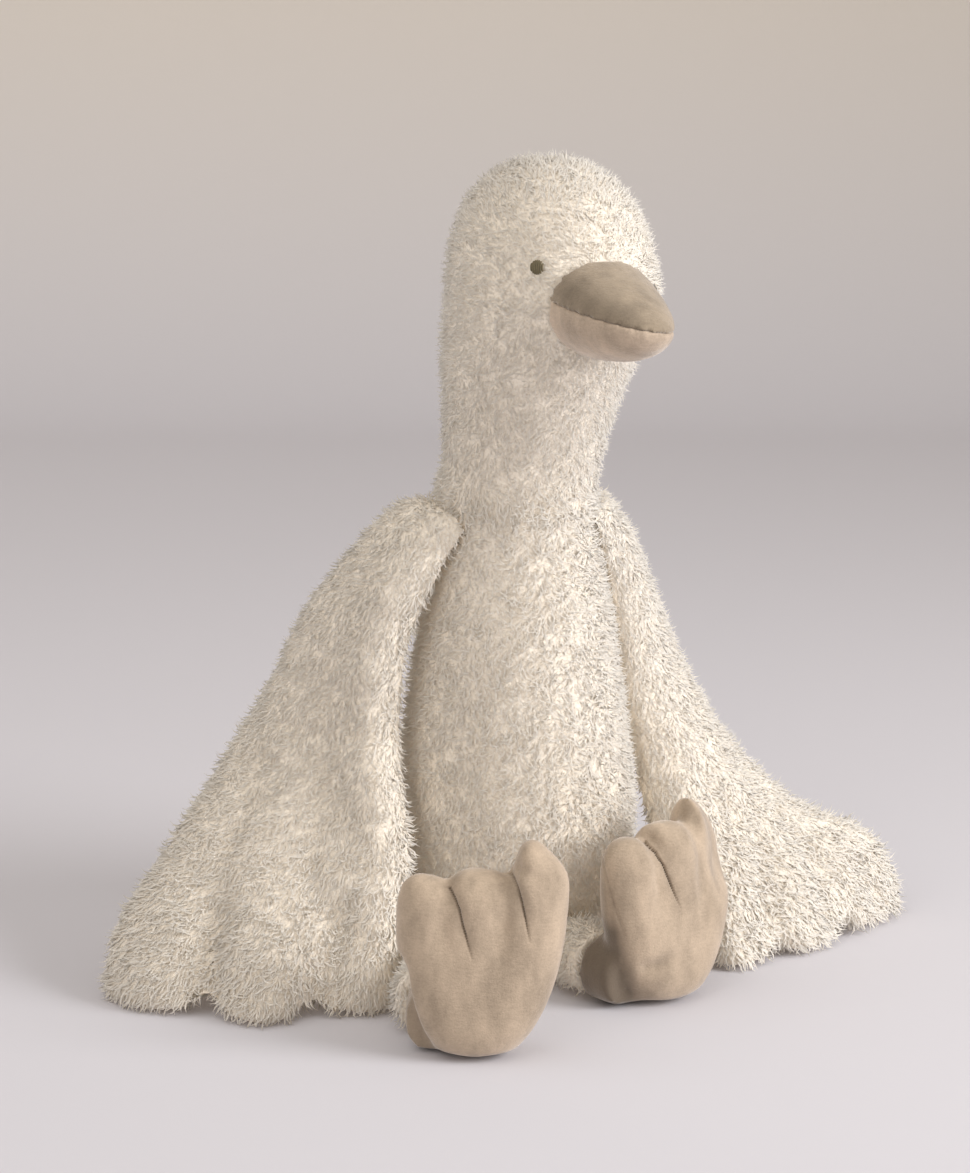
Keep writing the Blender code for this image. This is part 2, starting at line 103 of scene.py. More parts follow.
# The right wing's rolled front edge: its crest's place behind the edge, its width, how far it stands
# forward, how far it is drawn back from the torso's middle, and the heights that it runs between.
ROLL_INWARD = 0.009
ROLL_WIDTH = 0.011
ROLL_FORWARD = 0.0100
ROLL_ASIDE = 0.0028
ROLL_BEHIND = -0.012
ROLL_FOOT = 0.004
ROLL_TOP = 0.172
ROLL_SLICE = 0.003
ROLL_FADED = 0.168
ROLL_FADE = 0.05

# How wide the grooves and the mounds of the wings' lobes are, and how deep for their width.
RIGHT_LOBE_REACH = 0.0075
LEFT_LOBE_REACH = 0.0050
LOBE_GROOVE_DEPTH = 0.42
LOBE_MOUND_WIDTH = 1.6
LOBE_MOUND_HEIGHT = 0.36

# Where the grooves between the wings' lobes run, and the crest of each lobe, in the picture's pixels.
RIGHT_WING_GROOVES = [
    [(207, 1000), (210, 965), (216, 930), (223, 895)],
    [(328, 1000), (335, 960), (337, 925), (331, 890)],
]
RIGHT_WING_LOBES = [
    [(142, 985), (155, 945)],
    [(268, 1005), (270, 965), (274, 930)],
    [(372, 985), (377, 950)],
]
LEFT_WING_GROOVES = [
    [(829, 930), (824, 900), (812, 865), (798, 835)],
    [(877, 905), (868, 880), (856, 852)],
    [(752, 805), (763, 840), (772, 880)],
]
LEFT_WING_LOBES = [[(790, 930), (785, 900)], [(852, 920), (845, 890)], [(738, 850), (748, 900)]]

# The feet: where each heel stands, which way its sole faces, the shape of its third toe and ankle, and how
# dark a painted shadow on the ankle's outer side is.
FOOT_SHAPES = {
    "foot_right": {
        "place": (-0.0530, -0.1085), "turn": math.radians(-19.0), "third_toe": 0.022, "rise": 0.0030,
        "ankle_narrower": 0.28, "ankle_shade": 0.50, "ankle_start": -0.007,
    },
    "foot_left": {
        "place": (0.0358, -0.0720), "turn": math.radians(22.0), "third_toe": 0.029, "rise": 0.0075,
        "ankle_narrower": 0.0, "ankle_shade": 1.0, "ankle_start": -0.006,
    },
}

# Both feet: half the sole's width, how the outer toes' tops are rounded, and where the ankle lies.
FOOT_HALF_WIDTH = 0.0314
FIRST_TOE_DROP = 0.0070
THIRD_TOE_DROP = 0.0045
THIRD_TOE_WIDTH = 0.008
TOES_START = 0.036
TOES_HEIGHT = 0.040
ANKLE_MIDDLE = -0.010
ANKLE_TOP = 0.040
ANKLE_FADE = 0.008
ANKLE_BLEND = 0.005

# The eyes: their threads, how far they stand out, and how deep the far side's eye lies in the fur.
EYE_THREADS = 7
EYE_BULGE = 0.42
THREAD_STEPS = 10
THREAD_SIDES = 6
THREAD_OVERLAP = 1.12
THREAD_TWIST = 0.0009
FAR_EYE_SUNK = 0.0030

# The fur: where it stays bare, how long it is, and where on the head and wings its lie changes.
FUR_SEED = 11
FLOOR_BARE = 0.004
EYE_BARE = 0.0036
BURIED_DEPTH = 0.001
HEAD_BURIED_DEPTH = 0.0015
BODY_PILE = 0.95
CROWN_START = 0.285
CROWN_SPAN = 0.025
NECK_TOP = 0.25
NECK_SPAN = 0.04
COLLAR_HEIGHT = 0.183
COLLAR_WIDTH = 0.006
VEIL_WIDTH = 0.006
SHOULDER = (0.03, 0.005, 0.185)
DOWN = np.array((0.0, 0.0, -1.0))
HEM_TOP = 0.075
HEM_SPAN = 0.06

# Where the seams and creases show, in the picture's pixels. The velour is darkened along them as painted
# shade; the upper beak's middle and the left foot's third toe get painted shade alone, with no crease.
RIGHT_FOOT_GROOVES = [
    [(449, 886), (453, 897), (458, 910), (462, 926), (467, 942), (472, 960)],
    [(509, 871), (515, 886), (521, 903), (526, 922), (530, 944)],
]
LEFT_FOOT_GROOVES = [[(644, 838), (656, 851), (664, 866), (671, 882), (676, 896), (681, 909)]]
LEFT_FOOT_SEAM = [(601, 848), (604, 866), (609, 886), (614, 906), (620, 924), (626, 940), (632, 952)]
RIGHT_FOOT_FOLDS = [[(518, 868), (528, 874), (540, 879), (550, 880)]]
LEFT_FOOT_FOLDS = [
    [(648, 968), (660, 965), (671, 960), (681, 955)],
    [(652, 838), (664, 848), (674, 862), (680, 876)],
]
BEAK_PAINTED_SHADE = [(572, 290), (588, 299), (606, 307), (622, 312), (640, 318), (656, 322)]
LEFT_FOOT_FOLD_PAINTED_SHADE = [(686, 812), (694, 818), (703, 821)]

# How finely those lines are laid on a surface, and how the mesh is cut beside a seam.
LINE_STEP = 0.0006
PIXEL_STEP = 1.2
SEAM_REFINED = 0.0024
SEAM_CUTS = 2

# The floor, the bend up to the backdrop and the backdrop's distance.
FLOOR_HALF = 3.0
BACKDROP_BEND = 0.35
BACKDROP_PLACE = 1.6
BACKDROP_TOP = 3.0
BEND_STEPS = 16


def colour_setting(name, description, default):
    return bpy.props.FloatVectorProperty(
        name=name, description=description, default=default, subtype="COLOR", size=3
    )


def length_setting(name, description, default):
    return bpy.props.FloatProperty(
        name=name, description=description, default=default, unit="LENGTH", subtype="DISTANCE"
    )


def share_setting(name, description, default):
    return bpy.props.FloatProperty(
        name=name, description=description, default=default, subtype="FACTOR", min=0.0, max=1.0
    )


def power_setting(name, description, default):
    return bpy.props.FloatProperty(name=name, description=description, default=default, unit="POWER")


class DucklingFur(bpy.types.PropertyGroup):
    """Sizes and colours of the curly fur."""

    tip_colour: colour_setting("Tips", "Colour of the fur at its tips", (0.955, 0.905, 0.825))
    # The roots' colour is the fur's cream, deepened and warmed as painted shade deep in the pile.
    root_colour_and_shade: colour_setting("Roots", "Colour of the fur near the cloth", (0.94, 0.84, 0.705))
    tuft_length: length_setting("Tuft length", "Length of one curl", 0.0044)
    tuft_width: length_setting("Tuft width", "Width of one curl", 0.00062)
    spacing: length_setting("Spacing", "Least distance between curls", 0.00094)
    skin_inset: length_setting("Cloth depth", "How deep the cloth lies under the fur", 0.0013)
    shimmer: share_setting("Shimmer", "How strongly the pile shines at a slant", 0.22)
    # Painted glow: a warm emission on the curls and on the cloth between them, standing in for light bounced
    # in the pile.
    painted_pile_glow: share_setting("Light in the pile", "Light that bounces leave between the curls", 0.062)
    painted_pile_glow_colour: colour_setting("Warmth in the pile", "Colour of the light in the pile", (1.0, 0.78, 0.54))
    follow: share_setting("Softness", "How far the curls are shaded as the surface under them", 0.90)
    glow: share_setting("Glow", "How much light passes through the curls", 0.35)


class DucklingVelour(bpy.types.PropertyGroup):
    """Colours and grain of the velour feet and beak."""

    foot_colour: colour_setting("Feet", "Colour of the feet", (0.468, 0.372, 0.280))
    # The beak's halves are one velour: the upper is coloured darker as painted shade, the lower lighter as
    # painted bounce light from the chest.
    upper_beak_colour_and_shade: colour_setting("Upper beak", "Colour of the beak's upper half", (0.345, 0.278, 0.205))
    lower_beak_colour_and_light: colour_setting("Lower beak", "Colour of the beak's lower half", (0.52, 0.415, 0.32))
    brushed: share_setting("Brushed nap", "How far brushed patches differ in tone", 0.30)
    nap_size: length_setting("Nap size", "Size of one point of the nap", 0.0007)


class DucklingSewing(bpy.types.PropertyGroup):
    """Threads of the eyes and of the seams."""

    eye_colour: colour_setting("Eye thread", "Colour of the eyes' thread", (0.15, 0.122, 0.064))
    seam_width: length_setting("Seam width", "Half width of a sewn crease", 0.00048)
    seam_depth: length_setting("Seam depth", "Depth of a sewn crease", 0.0014)
    fold_width: length_setting("Fold width", "Half width of a soft fold", 0.0030)


class DucklingStage(bpy.types.PropertyGroup):
    """The plain floor and the lamps."""

    floor_colour: colour_setting("Floor", "Colour of the floor", (0.672, 0.665, 0.716))
    wall_colour: colour_setting("Backdrop", "Colour of the backdrop", (0.80, 0.745, 0.68))
    key_power: power_setting("Key lamp", "Strength of the large lamp", 8.0)
    fill_power: power_setting("Fill lamp", "Strength of the lamp beside the camera", 4.5)
    top_power: power_setting("Top lamp", "Strength of the wide lamp overhead", 6.5)
    sky: share_setting("Sky", "Strength of the even light from all sides", 0.53)


class Wire:
    """One output of a node, on which maths is written as plain Python."""

    def __init__(self, graph, socket):
        self.graph = graph
        self.socket = socket

    def out(self, name):
        return Wire(self.graph, self.socket.node.outputs[name])

    def sum(self, operation, first, second):
        return self.graph.node("ShaderNodeMath", {"operation": operation}, {0: first, 1: second})

    def __add__(self, other):
        return self.sum("ADD", self, other)

    def __sub__(self, other):
        return self.sum("SUBTRACT", self, other)

    def __mul__(self, other):
        return self.sum("MULTIPLY", self, other)

    def __truediv__(self, other):
        return self.sum("DIVIDE", self, other)

    def __rsub__(self, other):
        return self.sum("SUBTRACT", other, self)

    def __rtruediv__(self, other):
        return self.sum("DIVIDE", other, self)

    __radd__ = __add__
    __rmul__ = __mul__

    def larger(self, other):
        return self.sum("MAXIMUM", self, other)

    def smaller(self, other):
        return self.sum("MINIMUM", self, other)


class Graph:
    """A node tree, for a material or for geometry, to which nodes are added one line each."""

    def __init__(self, tree):
        self.tree = tree

    def node(self, kind, settings=None, values=None, out=0):
        made = self.tree.nodes.new(kind)
        for name, value in (settings or {}).items():
            if name == "stops":
                self.set_stops(made.color_ramp, value)
            else:
                setattr(made, name, value)
        for name, value in (values or {}).items():
            if isinstance(value, Wire):
                self.tree.links.new(value.socket, made.inputs[name])
            else:
                made.inputs[name].default_value = value
        return Wire(self, made.outputs[out] if made.outputs else None)

    def set_stops(self, ramp, stops):
        while len(ramp.elements) < len(stops):
            ramp.elements.new(0.5)
        for element, (place, shade) in zip(ramp.elements, stops):
            element.position = place
            element.color = (shade, shade, shade, 1.0)

    def join(self, x, y, z):
        return self.node("ShaderNodeCombineXYZ", values={"X": x, "Y": y, "Z": z})

    def vector(self, operation, first, second):
        return self.node("ShaderNodeVectorMath", {"operation": operation}, {0: first, 1: second})

    def scaled(self, vector, size):
        return self.node("ShaderNodeVectorMath", {"operation": "SCALE"}, {0: vector, "Scale": size})

    def colour_mix(self, factor, first, second, blend="MIX"):
        settings = {"data_type": "RGBA", "blend_type": blend}
        return self.node("ShaderNodeMix", settings, {0: factor, 6: first, 7: second}, out=2)

    def object_place(self):
        return self.node("ShaderNodeTexCoord", out="Object")

    def parts(self, vector):
        return self.node("ShaderNodeSeparateXYZ", values={"Vector": vector})

    def stretched(self, vector, size):
        return self.node("ShaderNodeMapping", values={"Vector": vector, "Scale": size})

    def ramp(self, stops, factor):
        return self.node("ShaderNodeValToRGB", {"stops": stops}, {"Fac": factor})

    def bump(self, strength, distance, height):
        values = {"Strength": strength, "Distance": distance, "Height": height}
        return self.node("ShaderNodeBump", values=values)

    def noise(self, place, size, detail=2.0, roughness=0.5):
        values = {"Vector": place, "Scale": 1.0 / size, "Detail": detail, "Roughness": roughness}
        return self.node("ShaderNodeTexNoise", values=values)


def rgba(colour, tone=1.0):
    return (*(min(channel * tone, 1.0) for channel in colour), 1.0)


def new_material(name):
    material = bpy.data.materials.new(name)
    material.use_nodes = True
    material.node_tree.nodes.clear()
    return material, Graph(material.node_tree)


def close_material(graph, base, roughness, bump, plain):
    """Joins the patterns to one Principled shader; plain holds what is the same all over."""
    values = {"Base Color": base, "Roughness": roughness, "Normal": bump, **plain}
    shader = graph.node("ShaderNodeBsdfPrincipled", values=values)
    graph.node("ShaderNodeOutputMaterial", values={"Surface": shader})


def pile_shine(fur, sheen_roughness, specular):
    """What the curls and the ground between them share: a soft shimmer, and a painted warm glow, an emission
    that stands in for light bounced in the pile.
    """
    return {
        "Sheen Weight": fur.shimmer,
        "Sheen Roughness": sheen_roughness,
        "Specular IOR Level": specular,
        # The painted warm glow in the pile.
        "Emission Color": rgba(fur.painted_pile_glow_colour),
        "Emission Strength": fur.painted_pile_glow,
    }


def tuft_material(fur):
    """Each curl: cream, deepened and warmed towards the root as painted shade in the pile, pale at the tip;
    every curl a little different.
    """
    material, graph = new_material("curly fur")
    along = graph.parts(graph.node("ShaderNodeUVMap", {"uv_map": STRAND_MAP}))
    tone = along.out("Y")
    pale = graph.ramp([(0.0, 0.0), (0.45, 0.62), (1.0, 1.0)], along)
    lift = tone * 0.10 + 0.95
    base = graph.colour_mix(pale, rgba(fur.root_colour_and_shade), rgba(fur.tip_colour))
    base = graph.colour_mix(1.0, base, graph.join(lift, lift, lift), "MULTIPLY")
    streak = graph.noise(graph.join(along * 1.5, tone * 90.0, 0.0), 1.0, detail=1.0)
    glow = {
        "Subsurface Weight": fur.glow,
        "Subsurface Radius": (1.0, 0.85, 0.7),
        "Subsurface Scale": 0.004,
    }
    plain = {**pile_shine(fur, 0.45, 0.22), **glow}
    close_material(graph, base, 0.62 - along * 0.12, graph.bump(0.25, 0.0002, streak), plain)
    return material


def skin_material(fur):
    """The cloth deep in the pile between the curls, its colour drifting between the roots' colour, darkened
    further as painted shade, and the tips' colour.
    """
    material, graph = new_material("fur ground")
    place = graph.object_place()
    curls = graph.node("ShaderNodeTexVoronoi", {"feature": "SMOOTH_F1"}, {"Vector": place, "Scale": 520.0})
    drift = graph.noise(place, 0.018)
    shade = graph.noise(place, 0.0016, detail=3.0)
    # Painted shade: the ground between the curls runs down to a darkened copy of the roots' colour.
    base = graph.colour_mix(shade * 0.7 + drift * 0.3, rgba(fur.root_colour_and_shade, 0.94), rgba(fur.tip_colour))
    bump = graph.bump(0.8, 0.0012, shade * 0.6 - curls * 0.8)
    close_material(graph, base, 0.75 + shade * 0.15, bump, pile_shine(fur, 0.5, 0.2))
    return material


def velour_material(name, colour, velour):
    """Short brushed nap: fine grain and wide brushed patches; painted shade darkens the sewn creases and
    folds, the ankles' outer sides and the middle of the upper beak.
    """
    material, graph = new_material(name)
    place = graph.object_place()
    wide = graph.noise(graph.stretched(place, (1.0, 1.0, 0.45)), 0.0075, detail=5.0)
    patches = graph.ramp([(0.30, 0.0), (0.72, 1.0)], wide)
    grain = graph.noise(place, velour.nap_size, roughness=0.7)
    weft = graph.noise(graph.stretched(place, (1.0, 1.0, 3.0)), 0.0022)
    seam = graph.node("ShaderNodeAttribute", {"attribute_name": "seam"}, out="Fac")
    tone = (patches * 0.40 + grain * 0.34 + weft * 0.26 - 0.5) * 1.7 + 0.5
    base = graph.colour_mix(tone, rgba(colour, 1.0 - velour.brushed), rgba(colour, 1.0 + velour.brushed))
    # Painted shade: the marked creases, folds, ankles and the middle of the upper beak are darkened towards
    # a deep brown.
    base = graph.colour_mix(seam.smaller(1.0) * 0.85, base, rgba(colour, 0.28))
    plain = {
        "Sheen Weight": 0.72,
        "Sheen Roughness": 0.4,
        "Sheen Tint": (1.0, 0.955, 0.92, 1.0),
        "Specular IOR Level": 0.15,
    }
    bump = graph.bump(0.6, 0.0004, grain * 0.8 + weft * 0.5)
    close_material(graph, base, 0.92 - patches * 0.14, bump, plain)
    return material


def thread_material(name, colour, twist):
    """Twisted thread: fine slanting ridges, glossier on their tops."""
    material, graph = new_material(name)
    place = graph.object_place()
    turned = graph.node("ShaderNodeMapping", values={"Vector": place, "Rotation": (0.6, 0.4, 0.7)})
    values = {"Vector": turned, "Scale": 1.0 / twist, "Distortion": 1.5}
    ridges = graph.node("ShaderNodeTexWave", values=values)
    drift = graph.noise(place, 0.0012)
    base = graph.colour_mix(ridges * 0.6 + drift * 0.4, rgba(colour, 0.6), rgba(colour, 1.5))
    plain = {"Specular IOR Level": 0.4, "Sheen Weight": 0.15}
    close_material(graph, base, 0.62 - ridges * 0.2, graph.bump(0.6, 0.00012, ridges), plain)
    return material


def vertex_vectors(mesh, field):
    flat = np.empty(len(mesh.vertices) * 3)
    mesh.vertices.foreach_get(field, flat)
    return flat.reshape(-1, 3)


def coordinates(mesh):
    return vertex_vectors(mesh, "co")


def outward_ways(mesh):
    return vertex_vectors(mesh, "normal")


def set_coordinates(mesh, points):
    mesh.vertices.foreach_set("co", np.ascontiguousarray(points, dtype=float).ravel())
    mesh.update()


def shade_smooth(mesh):
    mesh.polygons.foreach_set("use_smooth", [True] * len(mesh.polygons))


def mesh_from(work, name):
    """A mesh with what the bmesh holds; the bmesh is let go."""
    mesh = bpy.data.meshes.new(name)
    work.to_mesh(mesh)
    work.free()
    return mesh


def spot_tree(spots):
    """For finding the nearest of some spots."""
    tree = KDTree(len(spots))
    for number, spot in enumerate(spots):
        tree.insert(spot, number)
    tree.balance()
    return tree


def surface_tree(mesh):
    """For finding the nearest place on a mesh, and where a ray meets it."""
    return BVHTree.FromPolygons([v.co for v in mesh.vertices], [f.vertices for f in mesh.polygons])


def linked_object(name, data):
    made = bpy.data.objects.new(name, data)
    bpy.context.scene.collection.objects.link(made)
    return made


def new_piece(name, mesh, material):
    piece = linked_object(name, mesh)
    mesh.materials.clear()
    mesh.materials.append(material)
    shade_smooth(mesh)
    return piece


def finished_mesh(piece):
    """The piece's mesh with its modifiers worked in and taken off."""
    depsgraph = bpy.context.evaluated_depsgraph_get()
    depsgraph.update()
    mesh = bpy.data.meshes.new_from_object(piece.evaluated_get(depsgraph), depsgraph=depsgraph)
    piece.modifiers.clear()
    old = piece.data
    piece.data = mesh
    bpy.data.meshes.remove(old)
    return mesh


def smoothed(mesh, rounds, share=0.5):
    """Each point drawn towards the middle of its neighbours, a number of times."""
    points = coordinates(mesh).copy()
    ends = np.empty(len(mesh.edges) * 2, dtype=int)
    mesh.edges.foreach_get("vertices", ends)
    ends = ends.reshape(-1, 2)
    count = np.bincount(ends.ravel(), minlength=len(points)).reshape(-1, 1)
    for _ in range(rounds):
        total = np.zeros_like(points)
        np.add.at(total, ends[:, 0], points[ends[:, 1]])
        np.add.at(total, ends[:, 1], points[ends[:, 0]])
        points += (total / count - points) * share
    return points


def cloth_copy(node, cell, inset, material, rounds=3):
    """A cloth bag cut from a node's form: an even mesh, set in from the form by the inset."""
    name = node + "_bag"
    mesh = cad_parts[node].data.copy()
    mesh.name = name
    work = bmesh.new()
    work.from_mesh(mesh)
    bmesh.ops.remove_doubles(work, verts=work.verts, dist=1e-5)
    bmesh.ops.recalc_face_normals(work, faces=work.faces)
    work.to_mesh(mesh)
    work.free()
    piece = new_piece(name, mesh, material)
    cover = piece.modifiers.new("even", "REMESH")
    cover.mode = "VOXEL"
    cover.voxel_size = cell
    cover.use_smooth_shade = True
    mesh = finished_mesh(piece)
    set_coordinates(mesh, smoothed(mesh, rounds))
    set_coordinates(mesh, coordinates(mesh) - outward_ways(mesh) * inset)
    return piece


def puff(pieces, pressure, groove_depth):
    """Blows the bags up a little as stuffing does; sewn grooves and the seat stay where they are."""
    scene = bpy.context.scene
    starts = {}
    for piece in pieces:
        mesh = piece.data
        points = coordinates(mesh)
        sunk = ((smoothed(mesh, 6) - points) * outward_ways(mesh)).sum(axis=1)
        sewn = (sunk > groove_depth) | (points[:, 2] < SEAT_HEIGHT)
        held = piece.vertex_groups.new(name="sewn")
        held.add([int(k) for k in np.nonzero(sewn)[0]], 1.0, "REPLACE")
        starts[piece.name] = points.copy()
        cloth = piece.modifiers.new("stuffing", "CLOTH")
        cloth.settings.quality = 4
        cloth.settings.mass = 0.12
        cloth.settings.tension_stiffness = CLOTH_STIFFNESS
        cloth.settings.compression_stiffness = CLOTH_STIFFNESS
        cloth.settings.shear_stiffness = CLOTH_STIFFNESS * 0.4
        cloth.settings.bending_stiffness = 0.3
        cloth.settings.use_pressure = True
        cloth.settings.uniform_pressure_force = pressure
        cloth.settings.effector_weights.gravity = 0.0
        cloth.settings.vertex_group_mass = "sewn"
        cloth.point_cache.frame_start = 1
        cloth.point_cache.frame_end = CLOTH_FRAMES
    for number in range(1, CLOTH_FRAMES + 1):
        scene.frame_set(number)
    depsgraph = bpy.context.evaluated_depsgraph_get()
    for piece in pieces:
        blown = coordinates(piece.evaluated_get(depsgraph).data).copy()
        piece.modifiers.clear()
        piece.vertex_groups.clear()
        moved = blown - starts[piece.name]
        far = np.linalg.norm(moved, axis=1, keepdims=True)
        moved *= np.minimum(1.0, MOST_MOVED / np.maximum(far, 1e-9))
        set_coordinates(piece.data, starts[piece.name] + moved)
    scene.frame_set(1)


def foot_measures(points, shape):
    """How far each point lies beside the foot's middle, and 1 where it is on the ankle behind the sole."""
    turn = shape["turn"]
    away = points - np.array((*shape["place"], 0.0))
    aside = away @ np.array((math.cos(turn), math.sin(turn), 0.0))
    behind = away @ np.array((-math.sin(turn), math.cos(turn), 0.0))
    low = np.clip((ANKLE_TOP - points[:, 2]) / ANKLE_FADE, 0.0, 1.0)
    return aside, np.clip((behind - shape["ankle_start"]) / ANKLE_BLEND, 0.0, 1.0) * low


def shape_foot(foot, shape):
    """Rounds the tops of the outer toes, and draws the ankle's outer side in."""
    points = coordinates(foot.data)
    aside, ankle = foot_measures(points, shape)
    out = np.clip((np.abs(aside) / FOOT_HALF_WIDTH - 0.55) / 0.45, 0.0, 1.3)
    high = np.clip((points[:, 2] - TOES_START) / TOES_HEIGHT, 0.0, 1.0)
    high *= high * (3.0 - 2.0 * high)
    drop = np.where(aside < 0.0, FIRST_TOE_DROP, THIRD_TOE_DROP) * out * out
    rise = shape["rise"] * np.exp(-(((aside - shape["third_toe"]) / THIRD_TOE_WIDTH) ** 2))
    points[:, 2] += (rise - drop) * high
    inward = np.maximum(ANKLE_MIDDLE - aside, 0.0) * ankle * shape["ankle_narrower"]
    points += np.outer(inward, (math.cos(shape["turn"]), math.sin(shape["turn"]), 0.0))
    set_coordinates(foot.data, points)


def tuck_neck(torso, head):
    """Pushes the ends of the torso and of the neck into each other, and keeps the neck's width there."""
    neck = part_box("torso")[1].z
    for piece, way in ((torso, 1.0), (head, -1.0)):
        points = coordinates(piece.data)
        near = np.clip(1.0 - (neck - points[:, 2]) * way / NECK_TUCK_SPAN, 0.0, 1.0)
        points[:, 2] += way * NECK_TUCK * near * near * (3.0 - 2.0 * near)
        across = np.linalg.norm(points[:, :2], axis=1)
        column = (np.abs(points[:, 2] - neck) < NECK_TUCK_SPAN) & (across > NECK_COLUMN - NECK_COLUMN_REACH)
        wider = np.maximum(across, NECK_COLUMN) / np.maximum(across, 1e-6)
        points[column, :2] *= wider[column, None]
        set_coordinates(piece.data, points)


def hug_torso(wing):
    """Draws the wing's inner face in against the torso's side."""
    tree = surface_tree(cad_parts["torso"].data)
    points = coordinates(wing.data)
    for number, point in enumerate(points):
        place, _, _, distance = tree.find_nearest(Vector(point))
        near = min(max((WING_HUG_REACH - distance) / WING_HUG_FADE, 0.0), 1.0)
        if near > 0.0 and distance > 1e-5:
            points[number] += (np.array(place) - point) / distance * min(WING_HUG * near, distance * 0.6)
    set_coordinates(wing.data, points)


def roll_front_edge(wing):
    """Thickens the right wing's front edge to a round roll that stands forward beside the torso."""
    points = coordinates(wing.data)
    look = Vector((0.0, 0.0, -1.0))
    look.rotate(CAMERA_TURN)
    ahead = -np.array((look.x, look.y, 0.0)) / math.hypot(look.x, look.y)
    across = np.array((-ahead[1], ahead[0], 0.0))
    sideways = points @ across
    near_front = points @ ahead > ROLL_BEHIND
    edge = []
    for low in np.arange(ROLL_FOOT, ROLL_TOP, ROLL_SLICE):
        slab = np.nonzero(near_front & (points[:, 2] >= low) & (points[:, 2] < low + ROLL_SLICE))[0]
        if len(slab):
            edge.append(points[slab[np.argmax(sideways[slab])]] - across * ROLL_INWARD)
    tree = spot_tree(edge)
    far = np.array([tree.find(point)[2] for point in points])
    below = np.clip((ROLL_FADED - points[:, 2]) / ROLL_FADE, 0.0, 1.0)
    bell = np.exp(-((far / ROLL_WIDTH) ** 2))[:, None] * below[:, None]
    set_coordinates(wing.data, points + (ahead * ROLL_FORWARD - across * ROLL_ASIDE) * bell)


def divide(piece):
    """Makes the piece's mesh twice as fine, and round."""
    smooth = piece.modifiers.new("finer", "SUBSURF")
    smooth.levels = 1
    smooth.render_levels = 1
    finished_mesh(piece)


def ray_way(pixel):
    """Direction from the camera through a pixel of the picture."""
    reach = LENS / SENSOR * PICTURE_HEIGHT
    across = (pixel[0] - PICTURE_WIDTH / 2.0) / reach
    way = Vector((across, (PICTURE_HEIGHT / 2.0 - pixel[1]) / reach, -1.0))
    way.rotate(CAMERA_TURN)
    return way.normalized()


def on_surface(piece, pixels):
    """The line of pixels laid on the piece's surface, as evenly spaced points with their normals."""
    tree = surface_tree(piece.data)
    hits = []
    for first, second in zip(pixels, pixels[1:]):
        count = max(2, int(math.dist(first, second) / PIXEL_STEP))
        for k in range(count):
            share = k / count
            pixel = [start + (end - start) * share for start, end in zip(first, second)]
            place, normal, _, _ = tree.ray_cast(CAMERA_PLACE, ray_way(pixel))
            if place is not None:
                hits.append((place, normal))
    line = hits[:1]
    for place, normal in hits[1:]:
        if (place - line[-1][0]).length >= LINE_STEP:
            line.append((place, normal))
    return line


def lines_on(piece, lines):
    return [on_surface(piece, line) for line in lines]


def refine(piece, lines):
    """Cuts the mesh finer beside the lines, so that a narrow sewn crease fits in it."""
    tree = spot_tree([place for line in lines for place, _ in line])
    work = bmesh.new()
    work.from_mesh(piece.data)
    near = {vert for vert in work.verts if tree.find(vert.co)[2] < SEAM_REFINED}
    chosen = [edge for edge in work.edges if near.issuperset(edge.verts)]
    bmesh.ops.subdivide_edges(work, edges=chosen, cuts=SEAM_CUTS, use_grid_fill=True)
    work.to_mesh(piece.data)
    work.free()
    shade_smooth(piece.data)


def sew(piece, *layers):
    """Draws the surface in along lines that fade at their ends, and marks painted shade near the lines.

    Each layer is (lines, width, depth, shade), shade being how dark the painted shade is; all of them start
    from the same surface.
    """
    mesh = piece.data
    points = coordinates(mesh)
    sunk = np.zeros(len(points))
    mark = mesh.attributes.get("seam") or mesh.attributes.new("seam", "FLOAT", "POINT")
    marked = np.empty(len(points))
    mark.data.foreach_get("value", marked)
    for lines, width, depth, shade in layers:
        strength = [min(1.0, 0.15 + (len(line) - 1 - k) * 0.085) for line in lines for k in range(len(line))]
        if not strength:
            continue
        tree = spot_tree([place for line in lines for place, _ in line])
        found = [tree.find(point) for point in points]
        near = np.array([math.exp(-((hit[2] / width) ** 2)) * strength[hit[1]] for hit in found])
        sunk += near * depth
        # How dark the painted shade is along the lines.
        marked = np.maximum(marked, near * shade)
    set_coordinates(mesh, points - outward_ways(mesh) * sunk[:, None])
    mark = mesh.attributes["seam"]
    mark.data.foreach_set("value", marked)


def dress(piece, nodes=()):
    """Sets the finished piece on the floor, hangs it on the body that it rides on, and hides the nodes that
    it stands for.
    """
    points = coordinates(piece.data)
    if points[:, 2].min() < FLOOR_GAP:
        points[:, 2] = np.maximum(points[:, 2], FLOOR_GAP)
        set_coordinates(piece.data, points)
    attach(piece, BODY)
    if nodes:
        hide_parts(*nodes)


def tuft_shape(length, width):
    """One curl: three-sided, tapered and bent over, closed at its root."""
    work = bmesh.new()
    along_layer = work.verts.layers.float.new("along")
    side_layer = work.verts.layers.float.new("side")
    rings = []
    for x, y, z, size in ((0.0, 0.0, 0.0, 1.0), (0.16, 0.03, 0.56, 0.86)):
        ring = []
        for k in range(3):
            turn = 2.0 * math.pi * k / 3
            across = x * length + 0.5 * width * size * math.cos(turn)
            vert = work.verts.new((across, y * length + 0.5 * width * size * math.sin(turn), z * length))
            vert[along_layer] = z
            vert[side_layer] = math.cos(turn)
            ring.append(vert)
        rings.append(ring)
    tip = work.verts.new((0.52 * length, 0.16 * length, 0.86 * length))
    tip[along_layer] = 1.0
    for k in range(3):
        n = (k + 1) % 3
        work.faces.new((rings[0][k], rings[0][n], rings[1][n], rings[1][k]))
        work.faces.new((rings[1][k], rings[1][n], tip))
    work.faces.new(list(reversed(rings[0])))
    bmesh.ops.triangulate(work, faces=work.faces)
    bmesh.ops.recalc_face_normals(work, faces=work.faces)
    mesh = mesh_from(work, "curl")
    shade_smooth(mesh)
    return mesh


